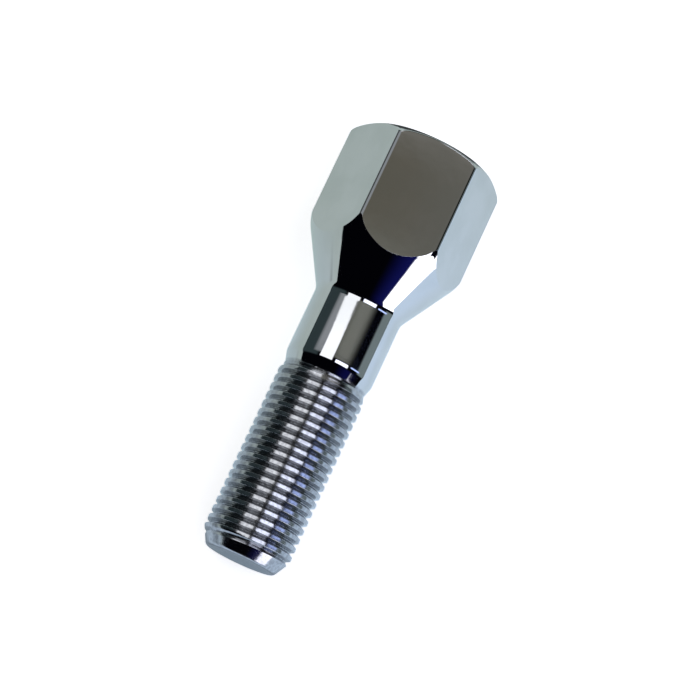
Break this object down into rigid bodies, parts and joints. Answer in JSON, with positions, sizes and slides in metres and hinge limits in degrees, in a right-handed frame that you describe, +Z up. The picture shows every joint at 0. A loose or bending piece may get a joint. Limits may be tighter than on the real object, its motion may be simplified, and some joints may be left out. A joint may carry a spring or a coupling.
{
  "type": "wheel bolt",
  "caption": "Chromed wheel bolt with a tall hexagon head, a cone seat that runs up into the hexagon, a plain neck and a metric thread.",
  "frame": {"origin": "middle of the lying bolt's box, on the floor", "axes": "+X along the bolt towards its head, +Z up, with one flat of the head turned to the floor"},
  "size_m": [0.06, 0.0216, 0.0203],
  "materials": {
    "chrome": "mirror-bright chrome plate on steel"
  },
  "bodies": {
    "root": {"wheel_bolt": "chrome"}
  },
  "joints": []
}
